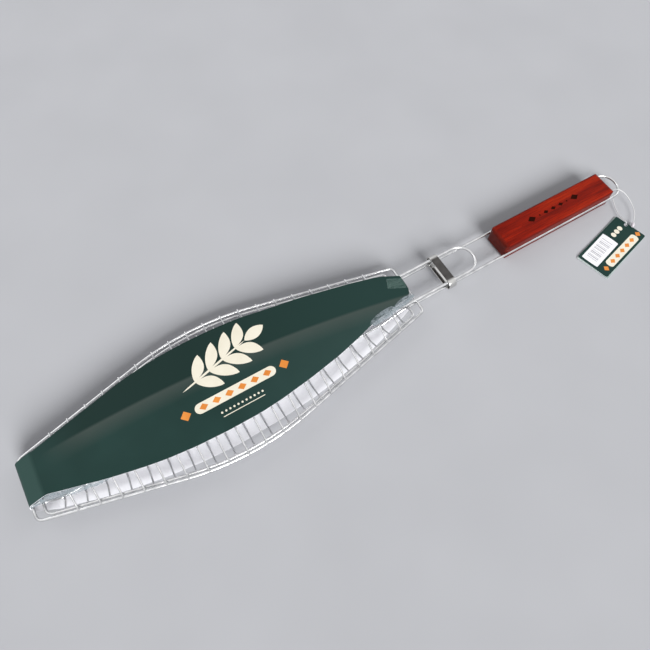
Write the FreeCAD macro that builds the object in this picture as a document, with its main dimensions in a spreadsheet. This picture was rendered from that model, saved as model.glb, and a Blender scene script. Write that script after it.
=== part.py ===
import FreeCAD, Part
import math
import os
import Sketcher

# A hinged wire basket for grilling one whole fish, with a wooden grip, a sliding
# lock clip, a card sleeve and a hang tag.
#
# Frame: millimetres, +Z up, +X from the hinged tip towards the grip, origin on the
# floor under the middle of the basket.  Lengths called "..._x" below are measured
# along +X from the lid rim's tip bar, which lies at tip_x.  The lid turns about the
# tray rim's tip bar, which is inside it.

V = FreeCAD.Vector
Z_AXIS = V(0, 0, 1)

TRAY_WIRES = 20
LID_WIRES = 19

# name, value in mm, meaning
SIZES = [
    ("zero", 0.0, "the floor and the lid rim's tip bar"),
    ("rim_wire", 2.5, "diameter of both rim wires"),
    ("rail_wire", 2.8, "diameter of both frame and handle wires"),
    ("cross_wire", 1.6, "diameter of the cross wires"),
    ("weld_gap", 0.02, "gap left between wires that are spot welded"),
    ("basket_length", 370.2, "lid rim, tip bar to neck bar"),
    ("tip_half", 27.7, "lid rim, half width at the tip bar"),
    ("apex_x", 172.9, "where the two straight flanks would meet"),
    ("apex_half", 71.0, "half width where the two straight flanks would meet"),
    ("neck_half", 26.9, "lid rim, half width at the neck bar"),
    ("belly_radius", 253.0, "radius of the lid rim's belly"),
    ("tip_corner", 6.0, "corner radius of the rims at the tip"),
    ("neck_corner", 4.5, "corner radius of the rims at the neck"),
    ("rim_step", 3.3, "lid rim to tray rim, between centre lines"),
    ("tray_tip_x", 7.9, "tip bar of the tray rim, the hinge pin"),
    ("tray_neck_less", 9.6, "neck bar of the tray rim, before the lid's neck bar"),
    ("card", 0.6, "thickness of the card sleeve"),
    ("card_gap", 0.05, "card to frame wire"),
    ("handle_spread", 6.8, "lid handle wire above the main handle wire"),
    ("lid_height", 25.55, "level of the lid's frame wires"),
    ("rail_half", 14.6, "half distance between the frame wires and handle wires"),
    ("rail_past", 1.0, "ends of the tray's frame wires, past its tip bar"),
    ("hook_wire", 2.0, "diameter of the hinge hooks"),
    ("hook_clearance", 0.12, "hinge hook to hinge pin"),
    ("hook_half", 8.0, "half distance between the hinge hooks"),
    ("hook_opening", 1.9, "hinge hook's end to the lid rim, smaller than the pin"),
    ("hook_bend", 1.5, "bend radius of the hinge hook beside the lid rim"),
    ("ramp_top_x", 9.9, "frame wires start to leave the rim level"),
    ("ramp_foot_x", 18.3, "frame wires reach the flat of the basket"),
    ("neck_foot_past", 2.9, "frame wires leave the flat, past the last tray wire but one"),
    ("neck_top_less", 14.2, "frame wires reach the handle level, before the neck bar"),
    ("small_bend", 5.0, "frame wire bend radius at the tip"),
    ("large_bend", 12.0, "frame wire bend radius at the neck"),
    ("cross_bend", 3.0, "bend radius of the cross wires"),
    ("flange_in", 2.0, "level end of a cross wire inside the rim"),
    ("flange_out", 1.0, "cross wire end past the rim's centre line"),
    ("floor_ratio", 0.78, "flat of a cross wire per rim half width"),
    ("floor_less", 6.8, "flat of a cross wire, less this"),
    ("tray_first_x", 21.5, "first cross wire of the tray"),
    ("tray_last_less", 21.9, "last cross wire of the tray, before the neck bar"),
    ("lid_first_x", 31.2, "first cross wire of the lid"),
    ("lid_loop_reach", 75.7, "outer end of the lid's handle loop, past the neck bar"),
    ("lid_loop_round", 14.3, "bend radius of the lid's handle loop"),
    ("grip_reach", 108.3, "grip, past the neck bar"),
    ("grip_length", 138.1, "grip"),
    ("grip_width", 28.4, "grip"),
    ("grip_height", 20.8, "grip"),
    ("grip_edge", 2.4, "rounding of the grip's long edges"),
    ("grip_end", 4.0, "rounding of the grip's end edges"),
    ("groove_gap", 0.05, "main handle wire to its groove in the grip"),
    ("hang_loop_reach", 17.5, "outer end of the hanging loop, past the grip"),
    ("hang_loop_round", 14.3, "bend radius of the hanging loop"),
    ("clip_reach", 35.6, "clip, past the neck bar"),
    ("clip_length", 8.0, "clip, along the handle"),
    ("clip_sheet", 1.0, "sheet thickness of the clip"),
    ("clip_play", 0.3, "clip to handle wires, above and below"),
    ("clip_inset", 1.0, "centre of the clip's round end, inside the wire"),
    ("leaf_start_x", 18.0, "creases of the card sleeve"),
    ("leaf_apex_x", 170.5, "where the leaf's straight sides would meet"),
    ("leaf_apex_half", 57.5, "half width there"),
    ("leaf_start_half", 19.3, "half width at the crease"),
    ("leaf_shoulder_less", 18.2, "end of the leaf's long sides, before the neck bar"),
    ("leaf_shoulder_half", 17.1, "half width there"),
    ("leaf_end_less", 3.5, "end of the leaf, before the neck bar"),
    ("leaf_end_half", 11.0, "half width there"),
    ("leaf_radius", 420.0, "radius of the leaf's belly"),
    ("leaf_corner", 1.5, "corner radius of the leaf"),
    ("top_leaf_shift", 4.0, "top leaf off the centre line"),
    ("low_leaf_shift", -3.0, "bottom leaf off the centre line"),
    ("wrap_flat", 2.0, "level part of the wrap beside each crease"),
    ("wrap_gap", 0.15, "wrap to the lid rim's tip bar"),
    ("wrap_face_half", 4.6, "half height of the wrap's upright part"),
    ("wrap_round", 3.0, "bend radius of the wrap"),
    ("tape", 0.12, "thickness of the closing tape"),
    ("tape_less", 12.6, "middle of the closing tape, before the neck bar"),
    ("tape_y", 6.2, "middle of the closing tape"),
    ("tape_long", 14.0, "length of the closing tape"),
    ("tape_wide", 9.7, "width of the closing tape"),
    ("tape_turn", 153.0, "closing tape's turn about Z, in degrees"),
    ("tag_less", 51.5, "middle of the hang tag, before the end of the hanging loop"),
    ("tag_y", -58.0, "middle of the hang tag"),
    ("tag_turn", 15.0, "hang tag's turn about Z, in degrees"),
    ("tag_length", 72.0, "hang tag"),
    ("tag_width", 36.0, "hang tag"),
    ("tag_card", 1.0, "hang tag, two layers"),
    ("hole_along", 33.2, "string hole, from the tag's middle"),
    ("hole_across", 4.2, "string hole, from the tag's middle"),
    ("hole_radius", 1.4, "string hole"),
    ("sticker_along", -11.8, "price sticker, from the tag's middle"),
    ("sticker_across", 6.0, "price sticker, from the tag's middle"),
    ("sticker_length", 39.5, "price sticker"),
    ("sticker_width", 18.0, "price sticker"),
    ("sticker", 0.12, "price sticker"),
    ("string", 0.8, "diameter of the tag's string"),
    ("bead_radius", 1.7, "lock bead"),
    ("bead_length", 5.2, "lock bead"),
]

# name, formula, meaning
DERIVED = [
    ("tip_x", "=-basket_length / 2", "the lid rim's tip bar in the frame"),
    ("tray_neck_x", "=basket_length - tray_neck_less", "neck bar of the tray rim"),
    ("pitch", "=(basket_length - tray_last_less - tray_first_x) / %d" % (TRAY_WIRES - 1),
     "spacing of the cross wires in each half"),
    ("neck_foot_x", "=basket_length - tray_last_less - pitch + neck_foot_past",
     "frame wires leave the flat"),
    ("neck_top_x", "=basket_length - neck_top_less", "frame wires at the handle level"),
    ("lid_loop_x", "=basket_length + lid_loop_reach", "end of the lid's handle loop"),
    ("clip_start_x", "=basket_length + clip_reach", "clip, end towards the basket"),
    ("grip_start_x", "=basket_length + grip_reach", "grip, end towards the basket"),
    ("grip_end_x", "=grip_start_x + grip_length", "grip, outer end"),
    ("hang_loop_x", "=grip_end_x + hang_loop_reach", "end of the hanging loop"),
    ("leaf_shoulder_x", "=basket_length - leaf_shoulder_less", "end of the leaf's long sides"),
    ("leaf_end_x", "=basket_length - leaf_end_less", "end of the leaf"),
    ("tape_x", "=basket_length - tape_less", "middle of the closing tape"),
    ("tag_x", "=hang_loop_x - tag_less", "middle of the hang tag"),
    ("rim_r", "=rim_wire / 2", "rim wire radius"),
    ("rail_r", "=rail_wire / 2", "frame wire radius"),
    ("cross_r", "=cross_wire / 2", "cross wire radius"),
    ("handle_level", "=grip_height / 2", "main handle wire"),
    ("lid_handle", "=handle_level + handle_spread", "lid handle wire"),
    ("mid_level", "=(handle_level + lid_handle) / 2", "middle of the handle"),
    ("tray_rim_level", "=handle_level + rail_r + rim_r + weld_gap", "tray rim"),
    ("lid_rim_level", "=lid_handle - rail_r - rim_r - weld_gap", "lid rim"),
    ("rail_level", "=card + card_gap + rail_r", "tray frame wires, on the flat"),
    ("weld_step", "=rail_r + cross_r + weld_gap", "cross wire off its frame wire"),
    ("rim_weld", "=rim_r + cross_r + weld_gap", "cross wire off its rim"),
    ("tray_flange", "=tray_rim_level - rim_weld", "ends of the tray's cross wires"),
    ("lid_flange", "=lid_rim_level + rim_weld", "ends of the lid's cross wires"),
    ("hook_r", "=hook_wire / 2", "hinge hook wire radius"),
    ("hook_reach", "=rim_r + hook_clearance + hook_r", "hinge hook's centre line off the pin"),
    ("hook_round", "=hook_reach - 0.1", "bend radius of the hinge hook round the pin"),
    ("hook_high", "=tray_rim_level + hook_reach", "hook above the pin"),
    ("hook_low", "=tray_rim_level - hook_reach", "hook below the pin"),
    ("hook_far_x", "=tray_tip_x + hook_reach", "hook behind the pin"),
    ("hook_turn_x", "=tray_tip_x - hook_reach", "hook reaches the level above the pin"),
    ("hook_end_x", "=rim_r + hook_opening", "open end of the hook"),
    ("hook_touch", "=rim_r + hook_r + weld_gap", "hook's centre line off the lid rim's"),
    ("hook_slope", "=(lid_rim_level + hook_touch - hook_high) / hook_turn_x", "hook's fall"),
    ("hook_weld", "=lid_rim_level + hook_touch * sqrt(1 + hook_slope * hook_slope)",
     "hook over the lid rim's tip bar"),
    ("rail_end_x", "=tray_tip_x - rail_past", "ends of the tray's frame wires"),
    ("tip_slope", "=(apex_half - tip_half) / apex_x", "front flank"),
    ("neck_slope", "=(apex_half - neck_half) / (basket_length - apex_x)", "rear flank"),
    ("tip_secant", "=sqrt(1 + tip_slope ^ 2)", "front flank, 1 / cos"),
    ("neck_secant", "=sqrt(1 + neck_slope ^ 2)", "rear flank, 1 / cos"),
    ("belly_tan", "=(tip_slope + neck_slope) / (1 - tip_slope * neck_slope)", "whole turn"),
    ("belly_half_tan", "=(sqrt(1 + belly_tan ^ 2) - 1) / belly_tan", "half turn"),
    ("belly_in_x", "=apex_x - belly_radius * belly_half_tan / tip_secant", "belly starts"),
    ("belly_out_x", "=apex_x + belly_radius * belly_half_tan / neck_secant", "belly ends"),
    ("belly_mid_x", "=belly_in_x + belly_radius * tip_slope / tip_secant", "its centre"),
    ("belly_mid_y", "=tip_half + tip_slope * belly_in_x - belly_radius / tip_secant", "same"),
    ("tip_less", "=rim_step * tip_secant", "tray rim inside the lid rim, front"),
    ("neck_less", "=rim_step * neck_secant", "tray rim inside the lid rim, rear"),
    ("tray_tip_half", "=tip_half + tip_slope * tray_tip_x - tip_less", "tray rim, tip"),
    ("tray_neck_half",
     "=neck_half + neck_slope * (basket_length - tray_neck_x) - neck_less", "neck"),
    ("tray_apex_half", "=apex_half - (tip_less + neck_less) / 2", "tray rim, apex"),
    ("tray_belly", "=belly_radius - rim_step", "tray rim, belly radius"),
    ("ramp_slope", "=(handle_level - rail_level) / (neck_top_x - neck_foot_x)", "tray, neck"),
    ("lid_ramp_slope", "=(lid_height - lid_handle) / (neck_top_x - neck_foot_x)", "lid, neck"),
    ("leg_end_x", "=hang_loop_x - 30", "main wire, legs meet the hanging loop"),
    ("lid_leg_end_x", "=neck_top_x + 2.6", "lid wire, legs meet the handle loop"),
    ("grip_half", "=grip_width / 2", "grip"),
    ("clip_centre", "=rail_half - clip_inset", "clip, centre of its round ends"),
    ("clip_inner", "=(handle_spread + rail_wire) / 2 + clip_play", "clip, inner radius"),
    ("clip_outer", "=clip_inner + clip_sheet", "clip, outer radius"),
    ("top_leaf_level", "=lid_height + rail_r + card_gap", "underside of the top leaf"),
    ("wrap_high", "=top_leaf_level + card / 2", "wrap, upper level"),
    ("wrap_low", "=card / 2", "wrap, lower level"),
    ("wrap_end_x", "=leaf_start_x - wrap_flat", "wrap leaves its level part"),
    ("wrap_face_x", "=-(rim_r + wrap_gap + card / 2)", "wrap's upright part"),
    ("wrap_top", "=mid_level + wrap_face_half", "wrap, top of its upright part"),
    ("wrap_bottom", "=mid_level - wrap_face_half", "wrap, foot of its upright part"),
]

# The string's route from the lock bead over the hanging loop and back down through
# the tag's hole: x from the end of the hanging loop, y and z, in mm.
STRING_ROUTE = [
    (-13.5, -47.8, 2.95),
    (-7.7, -43.4, 3.3),
    (-2.7, -37.2, 4),
    (0.3, -29.6, 5.4),
    (0.3, -21.8, 8.2),
    (-2.5, -15.6, 11.8),
    (-6.7, -9.8, 13.1),
    (-9.9, -6.9, 9.6),
    (-10.1, -10.6, 4.9),
    (-12.7, -17.6, 3.2),
    (-16.3, -25.4, 2.4),
    (-19.1, -33.4, 2.4),
    (-20.6, -39.6, 4.3),
    (-20.7, -44.7, 5.2),
    (-20.5, -45.35, 0.3),
]

doc = FreeCAD.newDocument("FishGrillBasket")
sizes = doc.addObject("Spreadsheet::Sheet", "Sizes")


class Rows:
    """Hands out the next free row of the sheet."""

    used = 0


def define(alias, content, note):
    """Write one named cell."""
    Rows.used += 1
    row = str(Rows.used)
    sizes.set("A" + row, alias)
    sizes.set("B" + row, content)
    sizes.setAlias("B" + row, alias)
    sizes.set("C" + row, note)
    return alias


def value(term):
    """The number behind an alias, or behind its negative."""
    if term.startswith("-"):
        return -float(sizes.get(term[1:]))
    return float(sizes.get(term))


def bound(term):
    """The expression for an alias, or for its negative."""
    if term.startswith("-"):
        return "-Sizes." + term[1:]
    return "Sizes." + term


def frame_x(alias):
    """The expression for a distance from the lid rim's tip bar, as frame X."""
    return "Sizes.tip_x + Sizes." + alias


def define_cross_wire(kind, index, first, level, step, flat, slope):
    """Name one cross wire's sizes: its place, half widths and the level of its flat part."""
    tag = "%s_wire_%d_" % (kind, index + 1)
    x = define(tag + "x", "=%s + %d * pitch" % (first, index), "place along the basket")
    arc = "belly_mid_y + sqrt(belly_radius ^ 2 - (%s - belly_mid_x) ^ 2)" % x
    front = "tip_half + tip_slope * %s" % x
    rear = "neck_half + neck_slope * (basket_length - %s)" % x
    rim = define(
        tag + "lid_rim",
        "=%s < belly_in_x ? %s : (%s > belly_out_x ? %s : %s)" % (x, front, x, rear, arc),
        "half width of the lid rim here",
    )
    less = "0" if kind == "lid" else "rim_step"
    near = define(tag + "rim", "=%s - %s" % (rim, less), "half width of its own rim here")
    end = define(tag + "end", "=%s + flange_out" % near, "half length")
    foot = define(tag + "foot", "=%s - flange_in" % near, "level end starts")
    flank = define(tag + "flat", "=floor_ratio * %s - floor_less" % rim, "half of its flat part")
    on_slope = "(%s + (%s - neck_foot_x) * (%s)) + %s * sqrt(1 + %s ^ 2)" % (
        level, x, slope, step, "(" + slope + ")")
    low = define(
        tag + "level",
        "=%s < neck_foot_x ? %s : %s" % (x, flat, on_slope),
        "level of its flat part",
    )
    return {"x": x, "end": end, "foot": foot, "flat": flank, "level": low}


for name, size, note in SIZES:
    define(name, str(size), note)
for name, formula, note in DERIVED:
    define(name, formula, note)
tray_wires = [
    define_cross_wire("tray", i, "tray_first_x", "rail_level", "weld_step",
                      "rail_level + weld_step", "ramp_slope")
    for i in range(TRAY_WIRES)
]
lid_wires = [
    define_cross_wire("lid", i, "lid_first_x", "lid_height", "-weld_step",
                      "lid_height - weld_step", "-lid_ramp_slope")
    for i in range(LID_WIRES)
]
doc.recompute()

TO_SIDE = FreeCAD.Rotation(V(1, 1, 1), 120)   # sketch x, y to frame Y, Z
TO_LENGTH = FreeCAD.Rotation(V(1, 0, 0), 90)  # sketch x, y to frame X, Z


def unit(a, b):
    d = b - a
    return d.normalize()


def bent_path(label, corners, radii, closed=False):
    """A sketch of straight runs joined by tangent arcs.  corners holds pairs of
    aliases; radii holds an alias for each corner, where an open path's two ends
    have none."""
    sketch = doc.addObject("Sketcher::SketchObject", label)
    points = [V(value(u), value(v), 0) for u, v in corners]
    count = len(points)
    turned = list(range(count)) if closed else list(range(1, count - 1))
    cut = {}
    for i in turned:
        before = unit(points[i], points[i - 1])
        after = unit(points[i], points[(i + 1) % count])
        half = before.getAngle(after) / 2
        reach = value(radii[i]) / math.tan(half)
        middle = unit(V(0, 0, 0), before + after)
        centre = points[i] + middle * (value(radii[i]) / math.sin(half))
        cut[i] = (points[i] + before * reach, points[i] + after * reach, centre)
    runs = count if closed else count - 1
    lines = []
    for i in range(runs):
        j = (i + 1) % count
        start = cut[i][1] if i in cut else points[i]
        stop = cut[j][0] if j in cut else points[j]
        lines.append(sketch.addGeometry(Part.LineSegment(start, stop), False))
    arcs = {}
    for i in turned:
        start, stop, centre = cut[i]
        radius = value(radii[i])
        a = math.atan2(start.y - centre.y, start.x - centre.x)
        b = math.atan2(stop.y - centre.y, stop.x - centre.x)
        left = (start - centre).cross(stop - centre).z > 0
        if not left:
            a, b = b, a
        circle = Part.Circle(centre, Z_AXIS, radius)
        arc = sketch.addGeometry(Part.ArcOfCircle(circle, a, b), False)
        arcs[i] = arc
        first, last = (1, 2) if left else (2, 1)
        incoming = lines[i - 1]
        sketch.addConstraint(Sketcher.Constraint("Tangent", incoming, 2, arc, first))
        sketch.addConstraint(Sketcher.Constraint("Tangent", arc, last, lines[i], 1))
        point = sketch.addGeometry(Part.Point(points[i]), True)
        sketch.addConstraint(Sketcher.Constraint("PointOnObject", point, 1, incoming))
        sketch.addConstraint(Sketcher.Constraint("PointOnObject", point, 1, lines[i]))
        place(sketch, point, 1, corners[i])
        size = sketch.addConstraint(Sketcher.Constraint("Radius", arc, radius))
        sketch.setExpression("Constraints[%d]" % size, bound(radii[i]))
    if not closed:
        place(sketch, lines[0], 1, corners[0])
        place(sketch, lines[-1], 2, corners[-1])
    return sketch


def place(sketch, geometry, vertex, corner):
    """Tie one sketch point to a pair of aliases."""
    for kind, term in zip(("DistanceX", "DistanceY"), corner):
        row = sketch.addConstraint(
            Sketcher.Constraint(kind, -1, 1, geometry, vertex, value(term)))
        sketch.setExpression("Constraints[%d]" % row, bound(term))


def stand(thing, rotation, **where):
    """Turn a thing and tie its place to expressions, such as x="Sizes.tip_x"."""
    thing.Placement = FreeCAD.Placement(V(0, 0, 0), rotation)
    for axis, formula in where.items():
        thing.setExpression("Placement.Base." + axis, formula)
    return thing


def round_section(label, diameter, rotation, **where):
    """The round section of a wire, at one end of its path."""
    section = doc.addObject("Part::Circle", label)
    section.setExpression("Radius", bound(diameter) + " / 2")
    return stand(section, rotation, **where)


def sweep(label, section, path):
    """A wire: its section carried along its path."""
    wire = doc.addObject("Part::Sweep", label)
    wire.Sections = [section]
    wire.Spine = (path, [])
    wire.Solid = True
    wire.Frenet = False
    return wire


def extrude(label, sketch, direction, length, middle=False):
    """A prism on a closed sketch."""
    prism = doc.addObject("Part::Extrusion", label)
    prism.Base = sketch
    prism.DirMode = "Custom"
    prism.Dir = direction
    prism.Solid = True
    prism.Symmetric = middle
    prism.setExpression("LengthFwd", length)
    return prism


def join(label, things):
    """One solid from solids that meet face to face."""
    whole = doc.addObject("Part::MultiFuse", label)
    whole.Shapes = things
    whole.Refine = True
    return whole


def cut(label, base, tool):
    """A solid less another."""
    rest = doc.addObject("Part::Cut", label)
    rest.Base = base
    rest.Tool = tool
    return rest


def cross_wire(label, row, flange):
    """One cross wire: level ends on the rim, sloping flanks and a flat middle."""
    corners = [
        ("-" + row["end"], flange),
        ("-" + row["foot"], flange),
        ("-" + row["flat"], row["level"]),
        (row["flat"], row["level"]),
        (row["foot"], flange),
        (row["end"], flange),
    ]
    radii = [None, "cross_bend", "cross_bend", "cross_bend", "cross_bend", None]
    x = frame_x(row["x"])
    path = stand(bent_path(label + "_path", corners, radii), TO_SIDE, x=x)
    section = round_section(label + "_section", "cross_wire", TO_LENGTH,
                            x=x, y=bound("-" + row["end"]), z=bound(flange))
    return sweep(label, section, path)


def rim(label, tip_x, tip_half, apex_half, neck_x, neck_half, belly, level):
    """A closed rim wire: two end bars, straight flanks and a round belly each side."""
    corners = [
        (tip_x, "-" + tip_half),
        ("apex_x", "-" + apex_half),
        (neck_x, "-" + neck_half),
        (neck_x, neck_half),
        ("apex_x", apex_half),
        (tip_x, tip_half),
    ]
    radii = ["tip_corner", belly, "neck_corner", "neck_corner", belly, "tip_corner"]
    path = bent_path(label + "_path", corners, radii, closed=True)
    stand(path, FreeCAD.Rotation(), x="Sizes.tip_x", z=bound(level))
    section = round_section(label + "_section", "rim_wire", TO_LENGTH,
                            x=frame_x(neck_x), y="0", z=bound(level))
    return sweep(label, section, path)


def leaf(label, shift, low):
    """One leaf of the card sleeve."""
    corners = [
        ("leaf_start_x", "-leaf_start_half"),
        ("leaf_apex_x", "-leaf_apex_half"),
        ("leaf_shoulder_x", "-leaf_shoulder_half"),
        ("leaf_end_x", "-leaf_end_half"),
        ("leaf_end_x", "leaf_end_half"),
        ("leaf_shoulder_x", "leaf_shoulder_half"),
        ("leaf_apex_x", "leaf_apex_half"),
        ("leaf_start_x", "leaf_start_half"),
    ]
    side = ["leaf_corner", "leaf_radius", "leaf_corner", "leaf_corner"]
    path = bent_path(label + "_outline", corners, side + side[::-1], closed=True)
    stand(path, FreeCAD.Rotation(), x="Sizes.tip_x", y=bound(shift), z=low)
    return extrude(label, path, Z_AXIS, "Sizes.card")


def slab(label, middle, length, width, height, turn, along, across, low):
    """A flat rectangular piece, turned about a middle and moved along and across from it."""
    box = doc.addObject("Part::Box", label)
    box.setExpression("Length", bound(length))
    box.setExpression("Width", bound(width))
    box.setExpression("Height", bound(height))
    box.Placement = FreeCAD.Placement(V(0, 0, 0), FreeCAD.Rotation(Z_AXIS, value(turn)))
    box.setExpression("Placement.Rotation.Angle", bound(turn))
    u = "(%s - %s / 2)" % (along, bound(length))
    v = "(%s - %s / 2)" % (across, bound(width))
    c = "cos(%s * 1 deg)" % bound(turn)
    s = "sin(%s * 1 deg)" % bound(turn)
    box.setExpression("Placement.Base.x", "%s + %s * %s - %s * %s" % (
        frame_x(middle[0]), u, c, v, s))
    box.setExpression("Placement.Base.y", "%s + %s * %s + %s * %s" % (
        bound(middle[1]), u, s, v, c))
    box.setExpression("Placement.Base.z", low)
    return box


def mirror_y(label, source):
    """The same piece on the other side of the centre line."""
    twin = doc.addObject("Part::Mirroring", label)
    twin.Source = source
    twin.Normal = V(0, 1, 0)
    twin.Base = V(0, 0, 0)
    return twin


def twin_wire(name, leg_corners, leg_radii, loop_corners, loop_radii, level):
    """A bent wire that is the same on both sides: two legs in upright planes and a
    level loop that joins them."""
    leg_path = bent_path(name + "_leg_path", leg_corners, leg_radii)
    stand(leg_path, TO_LENGTH, x="Sizes.tip_x", y="-Sizes.rail_half")
    section = round_section(name + "_section", "rail_wire", TO_SIDE,
                            x=frame_x(leg_corners[-1][0]), y="-Sizes.rail_half",
                            z=bound(level))
    near = sweep(name + "_near_leg", section, leg_path)
    far = mirror_y(name + "_far_leg", near)
    loop_path = bent_path(name + "_loop_path", loop_corners, loop_radii)
    stand(loop_path, FreeCAD.Rotation(), x="Sizes.tip_x", z=bound(level))
    loop = sweep(name + "_loop", section, loop_path)
    return join(name, [near, loop, far])


NODES = []


def keep(node):
    """Hand a finished piece out under its own name."""
    node.Label = node.Name
    NODES.append(node)
    return node


# Tray: rim, cross wires and the main wire with its handle and hanging loop.
keep(rim("tray_rim", "tray_tip_x", "tray_tip_half", "tray_apex_half",
         "tray_neck_x", "tray_neck_half", "tray_belly", "tray_rim_level"))
for i, row in enumerate(tray_wires):
    keep(cross_wire("tray_wire_%02d" % (i + 1), row, "tray_flange"))
keep(twin_wire(
    "main_wire",
    [
        ("rail_end_x", "handle_level"),
        ("ramp_top_x", "handle_level"),
        ("ramp_foot_x", "rail_level"),
        ("neck_foot_x", "rail_level"),
        ("neck_top_x", "handle_level"),
        ("leg_end_x", "handle_level"),
    ],
    [None, "small_bend", "small_bend", "large_bend", "large_bend", None],
    [
        ("leg_end_x", "-rail_half"),
        ("hang_loop_x", "-rail_half"),
        ("hang_loop_x", "rail_half"),
        ("leg_end_x", "rail_half"),
    ],
    [None, "hang_loop_round", "hang_loop_round", None],
    "handle_level",
))

# Lid: rim, cross wires and the wire that frames it and ends in the handle loop.
keep(rim("lid_rim", "zero", "tip_half", "apex_half",
         "basket_length", "neck_half", "belly_radius", "lid_rim_level"))
for i, row in enumerate(lid_wires):
    keep(cross_wire("lid_wire_%02d" % (i + 1), row, "lid_flange"))
keep(twin_wire(
    "lid_wire",
    [
        ("zero", "lid_handle"),
        ("ramp_top_x", "lid_handle"),
        ("ramp_foot_x", "lid_height"),
        ("neck_foot_x", "lid_height"),
        ("neck_top_x", "lid_handle"),
        ("lid_leg_end_x", "lid_handle"),
    ],
    [None, "small_bend", "small_bend", "large_bend", "large_bend", None],
    [
        ("lid_leg_end_x", "-rail_half"),
        ("lid_loop_x", "-rail_half"),
        ("lid_loop_x", "rail_half"),
        ("lid_leg_end_x", "rail_half"),
    ],
    [None, "lid_loop_round", "lid_loop_round", None],
    "lid_handle",
))


def hinge_hook(label, side):
    """A hook on the lid rim's tip bar that goes over, behind and under the hinge pin."""
    corners = [
        ("zero", "hook_weld"),
        ("hook_turn_x", "hook_high"),
        ("hook_far_x", "hook_high"),
        ("hook_far_x", "hook_low"),
        ("hook_end_x", "hook_low"),
    ]
    radii = [None, "hook_bend", "hook_round", "hook_round", None]
    path = bent_path(label + "_path", corners, radii)
    stand(path, TO_LENGTH, x="Sizes.tip_x", y=bound(side + "hook_half"))
    section = round_section(label + "_section", "hook_wire", TO_SIDE,
                            x=frame_x("hook_end_x"), y=bound(side + "hook_half"),
                            z="Sizes.hook_low")
    return sweep(label, section, path)


keep(hinge_hook("hinge_hook_near", "-"))
keep(hinge_hook("hinge_hook_far", ""))


def clip_ring():
    """The lock clip: a flat tube with half-round ends, round all four handle wires."""
    rings = []
    for label, radius in (("clip_outside", "clip_outer"), ("clip_inside", "clip_inner")):
        sketch = doc.addObject("Sketcher::SketchObject", label + "_path")
        y = value("clip_centre")
        z = value("mid_level")
        r = value(radius)
        right = Part.ArcOfCircle(Part.Circle(V(y, z, 0), Z_AXIS, r), -math.pi / 2, math.pi / 2)
        left = Part.ArcOfCircle(
            Part.Circle(V(-y, z, 0), Z_AXIS, r), math.pi / 2, 3 * math.pi / 2)
        ends = [sketch.addGeometry(right, False)]
        top = sketch.addGeometry(Part.LineSegment(V(y, z + r, 0), V(-y, z + r, 0)), False)
        ends.append(sketch.addGeometry(left, False))
        low = sketch.addGeometry(Part.LineSegment(V(-y, z - r, 0), V(y, z - r, 0)), False)
        for a, b in ((ends[0], top), (top, ends[1]), (ends[1], low), (low, ends[0])):
            sketch.addConstraint(Sketcher.Constraint("Tangent", a, 2, b, 1))
        sketch.addConstraint(Sketcher.Constraint("Equal", ends[0], ends[1]))
        size = sketch.addConstraint(Sketcher.Constraint("Radius", ends[0], r))
        sketch.setExpression("Constraints[%d]" % size, bound(radius))
        place(sketch, ends[0], 3, ("clip_centre", "mid_level"))
        place(sketch, ends[1], 3, ("-clip_centre", "mid_level"))
        stand(sketch, TO_SIDE, x=frame_x("clip_start_x"))
        rings.append(extrude(label, sketch, V(1, 0, 0), "Sizes.clip_length"))
    return cut("clip", rings[0], rings[1])


keep(clip_ring())


def grip_block():
    """The wooden grip: a bar with rounded edges and a groove along each side."""
    profiles = []
    side = [("-grip_half", "zero"), ("grip_half", "zero"),
            ("grip_half", "grip_height"), ("-grip_half", "grip_height")]
    path = bent_path("grip_profile", side, ["grip_edge"] * 4, closed=True)
    stand(path, TO_SIDE, x=frame_x("grip_start_x"))
    profiles.append(extrude("grip_bar", path, V(1, 0, 0), "Sizes.grip_length"))
    long = [("grip_start_x", "zero"), ("grip_end_x", "zero"),
            ("grip_end_x", "grip_height"), ("grip_start_x", "grip_height")]
    path = bent_path("grip_side_profile", long, ["grip_end"] * 4, closed=True)
    stand(path, TO_LENGTH, x="Sizes.tip_x")
    profiles.append(extrude("grip_side", path, V(0, 1, 0), "Sizes.grip_width + 4", True))
    plan = [("grip_start_x", "-grip_half"), ("grip_end_x", "-grip_half"),
            ("grip_end_x", "grip_half"), ("grip_start_x", "grip_half")]
    path = bent_path("grip_plan_profile", plan, ["grip_end"] * 4, closed=True)
    stand(path, FreeCAD.Rotation(), x="Sizes.tip_x")
    profiles.append(extrude("grip_plan", path, Z_AXIS, "Sizes.grip_height"))
    bar = doc.addObject("Part::MultiCommon", "grip_rounded")
    bar.Shapes = profiles
    grooves = []
    for label, sign in (("grip_near_groove", "-"), ("grip_far_groove", "")):
        groove = doc.addObject("Part::Cylinder", label)
        groove.setExpression("Radius", "Sizes.rail_r + Sizes.groove_gap")
        groove.setExpression("Height", "Sizes.grip_length + 10")
        stand(groove, FreeCAD.Rotation(V(0, 1, 0), 90), x=frame_x("grip_start_x") + " - 5",
              y=bound(sign + "rail_half"), z="Sizes.handle_level")
        grooves.append(groove)
    both = doc.addObject("Part::MultiFuse", "grip_grooves")
    both.Shapes = grooves
    return cut("grip", bar, both)


keep(grip_block())

# Card sleeve: a leaf under the tray, a leaf on the lid and the wrap round the tip.
keep(leaf("sleeve_bottom", "low_leaf_shift", "0"))
keep(leaf("sleeve_top", "top_leaf_shift", "Sizes.top_leaf_level"))


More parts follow.
